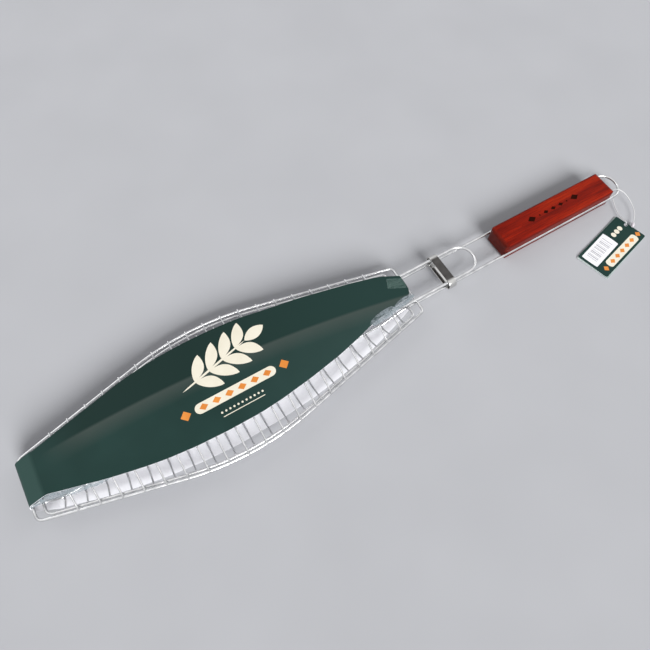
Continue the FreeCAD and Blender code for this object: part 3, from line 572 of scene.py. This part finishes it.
def top_height(x, y):
    """Height of the top leaf: level over the rails, falling away towards both long
    edges with the square of the way past LEVEL_SHARE, the more the wider the leaf is,
    with a slow ripple of less than a tenth of a millimetre along its edges."""
    near = smooth_line(x, TOP_NEAR)
    far = smooth_line(x, TOP_FAR)
    side = np.where(y < 0, y / np.minimum(near, -1), y / np.maximum(far, 1))
    width = np.maximum(-near, far) / FALL_WIDTH
    fall = FALL * np.clip(side - LEVEL_SHARE, 0, None) ** 2 * width
    ripple = RIPPLE * np.sin(x / 17.0 + 0.6) * np.clip(side - 0.5, 0, None)
    return (TOP_LEVEL - fall - ripple) * MM


def leaf_grid(near, far, rows, columns, cut=0.0):
    """Points x and y, in mm, of a leaf: straight across from its near edge to its
    far edge at each distance from the hinge.  Its near corner at the neck is cut
    round: short by cut at the edge, fading with the fifth power across the leaf."""
    share = np.linspace(0, 1, columns)[None, :]
    length = LEAF_END - LEAF_START - cut * (1 - share) ** 5
    x = LEAF_START + length * np.linspace(0, 1, rows)[:, None]
    y = smooth_line(x, near) * (1 - share) + smooth_line(x, far) * share
    return x, y


def leaf_piece(name, x, y, z, body, flip):
    """A card leaf, green above and white below and at its edges, or with flip green
    below."""
    grid = np.stack([TIP_X + x * MM, y * MM, z], -1)
    points, faces, picks = sheet_shell(grid, CARD)
    at_edges = 2 * (x.shape[0] + x.shape[1] - 2)
    if flip:
        picks[:-at_edges] = 1 - picks[:-at_edges]
    return mesh_piece(name, points, faces, [GREEN, WHITE], body, picks)


# The wrap's side view from the top leaf round the tip to the bottom leaf: distance
# from the lid's tip bar and height, in mm.
FRONT = -1.72
UPPER_BEND = 20.0
WRAP_LINE = [(LEAF_START, TOP_LEVEL), (15.5, TOP_LEVEL), (1.0, UPPER_BEND), (-1.0, 17.9),
             (FRONT, 15.5), (FRONT, 12.0), (0.3, 9.2), (15.5, LOW_LEVEL),
             (LEAF_START, LOW_LEVEL)]
# How far the wrap's two edges lie to the far side at its front, and the length over
# which they come back, in mm.
NEAR_SHIFT = 1.4
FAR_SHIFT = 1.2
SHIFT_LENGTH = 19.7


def wrap_line(count):
    """The wrap's side view, x and z in mm: straight runs from crease to crease round
    the tip bar, their corners rounded over 2 mm each way."""
    corners = np.array(WRAP_LINE)
    run = np.concatenate([[0], np.cumsum(np.linalg.norm(np.diff(corners, axis=0), axis=1))])
    along = np.linspace(0, run[-1], count)
    return [smooth_line(along, np.stack([run, corners[:, k]], 1), 2.0) for k in (0, 1)]


def sleeve_wrap():
    """The card round the tip: its side view carried across, between edges that drift
    from the top leaf's to the bottom leaf's with the square of the way down and lie a
    little to the far side at the front.  Above its upper bend the edges sag as the top
    leaf's do."""
    x, z = (line[:, None] for line in wrap_line(90))
    share = np.linspace(0, 1, 24)[None, :]
    down = 1 - (z - LOW_LEVEL) / (TOP_LEVEL - LOW_LEVEL)
    front = np.clip(1 - (x - FRONT) / SHIFT_LENGTH, 0, 1)
    near, low_near, far, low_far = (smooth_line(LEAF_START, table) for table in
                                    (TOP_NEAR, LOW_NEAR, TOP_FAR, LOW_FAR))
    near = near + (low_near - near) * down ** 2 + NEAR_SHIFT * front
    far = far + (low_far - far) * down ** 2 + FAR_SHIFT * front
    y = far * (1 - share) + near * share
    sag = TOP_LEVEL - top_height(LEAF_START + 0 * y, y) / MM
    z = z - sag * np.clip((z - UPPER_BEND) / (TOP_LEVEL - UPPER_BEND), 0, 1)
    grid = np.stack([TIP_X + x * MM + 0 * y, y * MM, z * MM], -1)
    points, faces, picks = sheet_shell(grid, CARD)
    piece = mesh_piece("sleeve_tip_wrap", points, faces, [GREEN, WHITE], None,
                       picks)
    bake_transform(piece)
    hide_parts("sleeve_wrap")


def sleeve():
    """The folded card sleeve: two leaves and the wrap round the tip."""
    x, y = leaf_grid(TOP_NEAR, TOP_FAR, 160, 44, NECK_CUT)
    top = leaf_piece("sleeve_lid_leaf", x, y, top_height(x, y), "lid", False)
    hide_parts("sleeve_top")
    x, y = leaf_grid(LOW_NEAR, LOW_FAR, 120, 30)
    low = leaf_piece("sleeve_tray_leaf", x, y, LOW_LEVEL * MM + 0 * x, "tray", True)
    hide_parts("sleeve_bottom")
    sleeve_wrap()


# The card's heights at distances from the tip bar, and how far inside the card's edge
# and below those heights the film is rooted, in mm.
FILM_LEVEL = ([-1.2, 16.0, 400.0], [19.0, 27.2, 27.2])
FILM_INSIDE = 0.4
FILM_BELOW = 0.5
# The start, end and reach of the film at the tip and at the neck, and its two lobes
# over the card at the neck as lens takes them, in mm.
TIP_FILM = (-0.6, 64.0, 5.6)
NECK_FILM = (318.0, 367.0, 4.6)
NECK_LOBES = [(330.0, -16.6, 29.0, 7.6, 9.0, 0.45), (355.3, -14.3, 23.2, 7.2, 8.0, 0.4)]


def film_edge(name, start, end, reach, body, lobes=()):
    """Clear film that stands past the card's near edge and curls under: at each
    distance along the edge a third of a turn of a flat oval arc with a flutter, as
    wide as reach in the middle, half of it at the start and narrow at the end.  lobes
    are patches of film that lie on the card."""
    share = np.linspace(0, 1, 60)[:, None]
    turn = np.linspace(-0.35, 1.9, 14)[None, :]
    x = start + (end - start) * share + 0 * turn
    shift = NEAR_SHIFT * np.clip(1 - x / LEAF_START, 0, 1)
    edge = smooth_line(np.maximum(x, 17.5), TOP_NEAR) + shift
    size = reach * np.sin(math.pi * (0.12 + 0.86 * share)) ** 0.7
    flutter = 0.5 * np.sin(x / 4.1) * np.sin(x / 9.7 + 1.0) * np.clip(turn, 0, None)
    y = edge + FILM_INSIDE - size * np.sin(turn) * 0.75
    z = np.interp(x, *FILM_LEVEL) - FILM_BELOW - size * (1 - np.cos(turn)) * 0.9 + flutter
    grid = np.stack([TIP_X + x * MM, y * MM, z * MM], -1)
    grids = [grid[:, ::-1]] + [on_leaf(patch, 0.12) for patch in lobes]
    shells(name, grids, 0.08 * MM, FILM, body)


# The tape's length and width, its middle from the lid's tip bar and the middle line,
# its turn in degrees and the place of its fold, all but the turn in mm.
TAPE_SIZE = (17.5, 10.6)
TAPE_MIDDLE = (359.3, 5.2)
TAPE_TURN = -27
TAPE_FOLD = 366.4


def closing_tape():
    """Clear tape across the leaf's far corner at the neck, 0.34 mm over the card's
    middle surface with a slight ripple, and folded down past TAPE_FOLD."""
    u = TAPE_SIZE[0] / 2 * np.linspace(-1, 1, 26)[:, None]
    v = TAPE_SIZE[1] / 2 * np.linspace(-1, 1, 16)[None, :]
    x, y = turned(*TAPE_MIDDLE, u, v, TAPE_TURN)
    z = top_height(np.minimum(x, TAPE_FOLD + 0.1), y) / MM + 0.34 + 0.05 * np.sin(u * 1.3 + v)
    past = np.clip(x - TAPE_FOLD, 0, None)
    grid = np.stack([TIP_X + (x - 0.75 * past) * MM, y * MM, (z - 0.9 * past) * MM], -1)
    piece = shells("closing_tape_film", [grid], 0.06 * MM, TAPE, "lid")
    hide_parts("closing_tape")


# ---------------------------------------------------------------- printed marks

def lens(x, y, length, width, turn=0.0, blunt=0.8, bend=0.0):
    """A leaf-shaped patch, in mm and turned by degrees: half its width is width / 2
    times the sine of the way along to the power blunt, and a hair more, so that its
    points don't close; bend bows its middle line sideways."""
    u = np.linspace(0, 1, 15)[:, None]
    v = np.linspace(-1, 1, 5)[None, :]
    along = length * (u - 0.5) + 0 * v
    across = v * (0.02 + width / 2 * np.sin(math.pi * u) ** blunt) + bend * np.sin(math.pi * u)
    return turned(x, y, along, across, turn)


def lozenge(x, y, length, width):
    """A diamond patch, in mm: its width falls in a straight line to a hair at both
    points."""
    u = np.linspace(-1, 1, 9)[:, None]
    v = np.linspace(-1, 1, 5)[None, :]
    return x + length / 2 * u + 0 * v, y + v * (0.02 + width / 2 * (1 - np.abs(u)))


def bar(x, y, length, width, turn=0.0, round_end=0.5):
    """A straight bar, in mm and turned by degrees, whose ends narrow along quarter
    ovals that are round_end widths long."""
    u = np.linspace(-1, 1, 33)[:, None]
    v = np.linspace(-1, 1, 5)[None, :]
    along = length / 2 * np.sin(u * math.pi / 2) + 0 * v
    radius = round_end * width
    past = np.clip((np.abs(along) - length / 2 + radius) / radius, 0, 1)
    across = v * width / 2 * np.sqrt(np.clip(1 - past ** 2, 0.0004, 1))
    return turned(x, y, along, across, turn)


# Prints are INK thick and lie INK above the card, each crossing patch of the sprig
# STAGGER higher than the last, all in mm.
INK = 0.03
STAGGER = 0.006


def on_leaf(patch, over=INK):
    """A patch laid on the top leaf, over millimetres above its face."""
    x, y = patch
    return np.stack([TIP_X + x * MM, y * MM, top_height(x, y) + CARD / 2 + over * MM], -1)


def dot(x, y, size):
    """A nearly round patch."""
    return lens(x, y, size, size, 0, 0.5)


# The sprig's root and tip, the places of its pairs of leaflets in shares of the way
# between them, their width, their lean from it in degrees and their bow, and the
# middle of the band under the sprig, all lengths in mm.
SPRIG_ROOT = np.array([147.0, 8.0])
SPRIG_TIP = np.array([213.0, 25.0])
PAIRS = (0.14, 0.36, 0.58, 0.80)
LEAFLET_WIDTH = 10.5
LEAFLET_LEAN = 46
LEAFLET_BOW = 1.6
BAND_X = 184.0
BAND_Y = -13.0


def sprig():
    """The patches of a plain herb sprig: its stem, its end leaf, and pairs of leaflets
    that are longest a little below the middle."""
    aim = SPRIG_TIP - SPRIG_ROOT
    heading = math.degrees(math.atan2(aim[1], aim[0]))
    patches = [lens(*(SPRIG_ROOT + aim * 0.46), 69.3, 2.0, heading, 0.35),
               lens(*(SPRIG_ROOT + aim * 1.13), 22, 11.2, heading)]
    for share in PAIRS:
        length = 27 - 7 * abs(share - 0.45)
        for side in (1, -1):
            lean = heading + side * LEAFLET_LEAN
            out = np.array([math.cos(math.radians(lean)), math.sin(math.radians(lean))])
            middle = SPRIG_ROOT + aim * share + out * (length / 2 + 1.0)
            patches.append(lens(*middle, length, LEAFLET_WIDTH, lean, bend=-side * LEAFLET_BOW))
    return patches


def leaf_print():
    """A plain cream herb sprig over a cream band set with orange lozenges, with a row
    of dots and a thin line under it."""
    grids = [on_leaf(patch, INK + STAGGER * k) for k, patch in enumerate(sprig())]
    cream = [bar(BAND_X, BAND_Y, 76, 9.6)]
    cream += [dot(x, -25.5, 1.9) for x in np.linspace(165, 203, 11)]
    cream.append(bar(BAND_X, -29.5, 39, 0.7))
    grids += [on_leaf(patch) for patch in cream]
    shells("sleeve_cream_print", grids, INK * MM, CREAM, "lid")
    orange = [on_leaf(lozenge(x, BAND_Y, 8.2, 6.4), 2 * INK) for x in np.linspace(154, 214, 6)]
    orange += [on_leaf(lozenge(x, BAND_Y, 9.5, 9.5)) for x in (137.5, 230.5)]
    shells("sleeve_orange_print", orange, INK * MM, ORANGE, "lid")


def grip_mark():
    """A plain row of lozenges and dots burnt on the grip's top, on a line a little to
    the far side of its middle."""
    line = 1.4
    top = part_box("grip")[1][2] + 0.01 * MM
    marks = [lozenge(x, line, 9.5, 7.0) for x in (520.0, 575.0)]
    marks += [lozenge(x, line, 6.0, 4.2) for x in (538.0, 547.5, 557.0)]
    marks += [dot(x, line, 1.8) for x in (530.0, 565.0)]
    grids = [np.stack([TIP_X + x * MM, y * MM, top + 0 * x], -1) for x, y in marks]
    shells("grip_burnt_marks", grids, 0.04 * MM, SCORCH, "tray")


# ---------------------------------------------------------------- hang tag

# The tag's middle on the floor, its turn in degrees, its length and width, its card's
# thickness, how far its ends lift, the middle and radius of its hole, and the middle
# heights of its layers, prints and label, all but the turn in mm.
TAG_MIDDLE = (582.6, -58.0)
TAG_TURN = 15
TAG_SIZE = np.array([72.0, 36.0])
TAG_CARD = 0.4
TAG_LIFT = 0.25
HOLE = np.array([33.2, 4.2])
HOLE_RADIUS = 1.9
LOWER_LAYER = 0.27
UPPER_LAYER = 0.76
CREAM_LEVEL = 1.0
LABEL_LEVEL = 1.02
ORANGE_LEVEL = 1.03
BARS_LEVEL = 1.09
# The place of the label's first bar and the steps to the others, and the bars' widths,
# in mm.
BAR_STEPS = [-26.0, 2.2, 1.5, 2.8, 1.6, 2.2, 3.0, 1.4, 2.4, 1.8, 2.9, 1.7, 2.1, 2.6]
BAR_WIDTHS = [0.5, 0.9, 0.4, 0.6, 1.0, 0.4, 0.7, 0.5, 1.0, 0.4, 0.6, 0.9, 0.4, 0.6]


def on_tag(patch, level):
    """A patch given along and across the tag, in mm from its middle, put in its place;
    the tag lifts towards both ends with the square of the distance from its middle."""
    u, v = patch
    x, y = turned(*TAG_MIDDLE, u, v, TAG_TURN)
    z = level + TAG_LIFT * (2 * u / TAG_SIZE[0]) ** 2
    return np.stack([TIP_X + x * MM, y * MM, z * MM], -1)


def card_with_hole(shift, turn, less, level):
    """A card layer with a hole, less mm smaller than the tag on each side, shifted and
    turned by degrees: rings that change from the hole's circle to a rectangle with
    small round corners, which is an oval of a high power."""
    power = 40
    angle = np.linspace(0, 2 * math.pi, 160, endpoint=False)[None, :]
    share = np.linspace(0, 1, 16)[:, None, None]
    way = np.stack([np.cos(angle), np.sin(angle)], -1)
    reach = (TAG_SIZE / 2 - less) / (np.abs(way) ** power).sum(-1, keepdims=True) ** (1 / power)
    out = way * reach
    edge = np.stack(turned(*shift, out[..., 0], out[..., 1], turn), -1)
    flat = (HOLE + HOLE_RADIUS * way) * (1 - share) + edge * share
    return on_tag((flat[..., 0], flat[..., 1]), level)


def ring_shell(grid, thickness):
    """A closed thin sheet with a hole from a grid whose columns go round, with each
    face's side as sheet_shell gives it."""
    rows, columns = grid.shape[:2]
    rise = np.array([0, 0, thickness / 2])
    count = rows * columns
    points = np.concatenate([(grid + rise).reshape(-1, 3), (grid - rise).reshape(-1, 3)])
    top = grid_faces(rows, columns, wrap_columns=True)
    low = top[:, ::-1] + count
    here = np.arange(columns)
    after = (here + 1) % columns
    last = (rows - 1) * columns
    inner = np.stack([here, after, after + count, here + count], 1)
    outer = last + np.stack([after, here, here + count, after + count], 1)
    faces = np.concatenate([top, low, inner, outer])
    return points, faces, np.repeat([0, 1], [len(top), len(faces) - len(top)])


def hang_tag():
    """The folded tag: a lower layer that shows past the upper one along two sides, the
    price label with faint bars, and plain marks in cream and orange."""
    layers = [("tag_lower_layer", TAG_EDGE, (0, 0), 0.0, 0.1, LOWER_LAYER),
              ("tag_upper_layer", TAG_GREEN, (0.5, 0.1), -0.8, 0.75, UPPER_LAYER)]
    for name, face, shift, turn, less, level in layers:
        grid = card_with_hole(shift, turn, less, level)
        points, faces, picks = ring_shell(grid, TAG_CARD * MM)
        layer = mesh_piece(name, points, faces, [face, WHITE], "tray", picks)
    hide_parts("hang_tag")
    label = shells("price_label", [on_tag(bar(-11.8, 6.0, 39.5, 18.0, 0, 0.03), LABEL_LEVEL)],
                   0.08 * MM, PAPER, "tray")
    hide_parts("tag_sticker")
    bars = [on_tag(bar(u, 6.6, 11.5, width, 90, 0.1), BARS_LEVEL)
            for u, width in zip(np.cumsum(BAR_STEPS), BAR_WIDTHS)]
    shells("price_label_bars", bars, 0.02 * MM, GREY, "tray")
    cream = [lens(u, 6.4, 5.2, 5.6, 0, 0.5) for u in (14.0, 19.6, 25.2)]
    cream.append(bar(3.6, -10.2, 50.0, 9.0, -1.0, 0.3))
    shells("tag_cream_print", [on_tag(patch, CREAM_LEVEL) for patch in cream], INK * MM, CREAM,
           "tray")
    orange = [on_tag(lozenge(u, -10.2, 6.4, 5.4), ORANGE_LEVEL)
              for u in (-14.0, -5.2, 3.6, 12.4, 21.2)]
    orange += [on_tag(lozenge(u, -10.5, 6.0, 6.4), CREAM_LEVEL) for u in (-26.0, 32.0)]
    shells("tag_orange_print", orange, INK * MM, ORANGE, "tray")


# ---------------------------------------------------------------- metal details

def lock_band():
    """The lock clip: a strip section with rounded edges carried round a flat ring with
    half round ends, which lies round all four handle wires.  The ring is split by the
    way along it into its upper run, near end, lower run and far end."""
    low, high = (np.array(corner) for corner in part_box("clip"))
    middle = (low + high) / 2
    sheet = 1.0 * MM
    radius = (high[2] - low[2]) / 2 - sheet / 2
    straight = (high[1] - low[1]) / 2 - sheet / 2 - radius
    whole = 4 * straight + 2 * math.pi * radius
    way = np.linspace(0, whole, 144, endpoint=False)
    arc = math.pi * radius
    part = np.searchsorted([2 * straight, 2 * straight + arc, 4 * straight + arc], way, "right")
    turn = np.select([part == 0, part == 1, part == 2],
                     [0 * way, (way - 2 * straight) / radius, 0 * way + math.pi],
                     math.pi + (way - 4 * straight - arc) / radius) + math.pi / 2
    centre = np.select([part == 0, part == 1, part == 2],
                       [straight - way, 0 * way - straight, way - 3 * straight - arc],
                       0 * way + straight)
    out = np.stack([0 * way, np.cos(turn), np.sin(turn)], -1)
    path = np.stack([0 * way, centre, 0 * way], -1) + radius * out
    round_off = 0.38 * MM
    half = np.array([(high[0] - low[0]) / 2, sheet / 2]) - round_off
    spin = np.linspace(0, 2 * math.pi, 24, endpoint=False) + math.pi / 24
    along = np.sign(np.cos(spin)) * half[0] + round_off * np.cos(spin)
    lift = np.sign(np.sin(spin)) * half[1] + round_off * np.sin(spin)
    points = middle + path[:, None] + along[None, :, None] * [1.0, 0, 0] \
        + lift[None, :, None] * out[:, None]
    faces = grid_faces(len(way), len(spin), wrap_rows=True, wrap_columns=True)
    piece = mesh_piece("lock_clip_band", points.reshape(-1, 3), faces[:, ::-1], [STRIP], "clip")
    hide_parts("clip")


def ball(rows, columns):
    """A unit ball: rings between two poles, with its faces as quads and triangles."""
    tilt = np.linspace(0, math.pi, rows + 1)[1:-1, None]
    spin = np.linspace(0, 2 * math.pi, columns, endpoint=False)[None, :]
    rings = np.stack([np.sin(tilt) * np.cos(spin), np.sin(tilt) * np.sin(spin),
                      np.cos(tilt) + 0 * spin], -1).reshape(-1, 3)
    points = np.concatenate([rings, [[0, 0, 1.0], [0, 0, -1.0]]])
    quads = grid_faces(rows - 1, columns, wrap_columns=True)
    here = np.arange(columns)
    after = (here + 1) % columns
    pole = len(rings)
    last = pole - columns
    caps = np.concatenate([np.stack([here, after, 0 * here + pole], 1),
                           np.stack([last + after, last + here, 0 * here + pole + 1], 1)])
    return points, quads, caps


# Half the sizes of a weld's drop, and how far inside its cross wire's end it lies.
BEAD_RADII = np.array([1.05, 1.05, 0.5]) * MM
WELD_INSET = 1.0 * MM


def weld_beads(name, places, body):
    """Flat drops of metal, 2.1 mm across, where wires are resistance welded."""
    points, quads, caps = ball(6, 10)
    start = np.arange(len(places))[:, None, None] * len(points)
    drops = np.array(places)[:, None] + points * BEAD_RADII
    faces = [(quads + start).reshape(-1, 4), (caps + start).reshape(-1, 3)]
    mesh_piece(name, drops.reshape(-1, 3), faces, [WIRE], body)


def all_welds():
    """A bead at each crossing of a cross wire with its rim and its frame wires, and
    where frame wires and hooks meet the bars."""
    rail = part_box("lid_wire")[1][1] - RAIL_RADIUS
    for half in ("tray", "lid"):
        upper = half == "lid"
        places = []
        for node in sorted(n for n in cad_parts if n.startswith(half + "_wire_")):
            low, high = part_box(node)
            x = (low[0] + high[0]) / 2
            edge = high[1] - WELD_INSET
            rim_z, rail_z = (low[2], high[2]) if upper else (high[2], low[2])
            places += [(x, y, rim_z) for y in (-edge, edge)]
            places += [(x, y, rail_z) for y in (-rail, rail)]
        low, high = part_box(half + "_rim")
        level = high[2] if upper else low[2]
        bars = (low[0] + RIM_RADIUS, high[0] - RIM_RADIUS)
        places += [(x, y, level) for x in bars for y in (-rail, rail)]
        if upper:
            places += [(TIP_X, sum(corner[1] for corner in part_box(hook)) / 2, level)
                       for hook in ("hinge_hook_near", "hinge_hook_far")]
        weld_beads(half + "_weld_beads", places, half)


def finish_solids():
    """The model's own solids that stay in view: plated wire, and the beech grip."""
    wires = [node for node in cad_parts
             if "wire" in node or node.endswith("_rim") or node.startswith("hinge_hook")]
    for node in wires + ["grip"]:
        material = WOOD if node == "grip" else WIRE
        solid = bpy.data.objects[node]
        if not solid.material_slots:
            solid.data.materials.append(material)
        for holder in solid.material_slots:
            holder.material = material


# ---------------------------------------------------------------- making

string_piece, string_route = tag_string()
bead_piece = lock_bead(string_route)
hang_tag()
sleeve()
film_edge("tip_edge_film", *TIP_FILM, "lid")
film_edge("neck_edge_film", *NECK_FILM, "lid", [lens(*lobe) for lobe in NECK_LOBES])
closing_tape()
leaf_print()
grip_mark()
lock_band()
all_welds()
finish_solids()


# ---------------------------------------------------------------- studio

# Each lamp's name, place it shines from to the origin, width in degrees and strength.
LAMPS = [
    ("key_lamp", (-0.12, -2.3, 1.55), 30, 3.95),
    ("back_lamp", (-1.0, 1.8, 1.9), 36, 0.42),
    ("side_lamp", (2.1, -0.2, 1.3), 30, 0.28),
]
# How much of the surround's brightness lights matt surfaces; mirrors see all of it.
SURROUND_SHARE = 0.33


def studio_floor():
    """A pale matt board, just under the basket."""
    size = 3.0
    floor = bpy.data.meshes.new("studio_floor")
    floor.from_pydata([(-size, -size, 0), (size, -size, 0), (size, size, 0), (-size, size, 0)],
                      [], [(0, 1, 2, 3)])
    material, tree = new_material("matt_pale_backdrop_board")
    cloud = grain(tree, place_of(tree), 9, 2.0)
    floor.materials.append(surfaced(
        material, tree,
        Base_Color=ramp(tree, cloud, [(0.3, "#b6b7bb"), (0.7, "#babbbf")]),
        Roughness=0.9, Specular_IOR_Level=0.1))
    ground = bpy.data.objects.new("studio_floor", floor)
    ground.location = (0.05, 0, -0.0002)
    bpy.context.scene.collection.objects.link(ground)


def studio_lamps():
    """A wide soft light from the near side and weaker ones from behind and the right."""
    for name, place, width, strength in LAMPS:
        lamp = bpy.data.lights.new(name, "SUN")
        lamp.angle = math.radians(width)
        lamp.energy = strength
        stand = bpy.data.objects.new(name, lamp)
        stand.location = place
        stand.rotation_euler = (-Vector(place)).to_track_quat("-Z", "Y").to_euler()
        bpy.context.scene.collection.objects.link(stand)


def studio_surround():
    """A pale surround that is whitest overhead."""
    world = bpy.data.worlds.new("soft_surround")
    world.use_nodes = True
    bpy.context.scene.world = world
    tree = world.node_tree
    tree.nodes.clear()
    ray = add(tree, "ShaderNodeLightPath").outputs
    seen = calc(tree, "MAXIMUM", ray["Is Glossy Ray"], ray["Is Transmission Ray"])
    seen = calc(tree, "MAXIMUM", seen, ray["Is Camera Ray"])
    up = axes_of(tree, "Generated")[2]
    fade = ramp(tree, up, [(0.0, "#c2c4c8"), (0.25, "#d6d7da"), (0.75, "#f2f2f4")])
    sky = add(tree, "ShaderNodeBackground", Color=fade,
              Strength=spread(tree, seen, SURROUND_SHARE, 1.0))
    add(tree, "ShaderNodeOutputWorld", Surface=sky.outputs[0])


studio_floor()
studio_lamps()
studio_surround()
bpy.context.scene.view_settings.view_transform = "Standard"
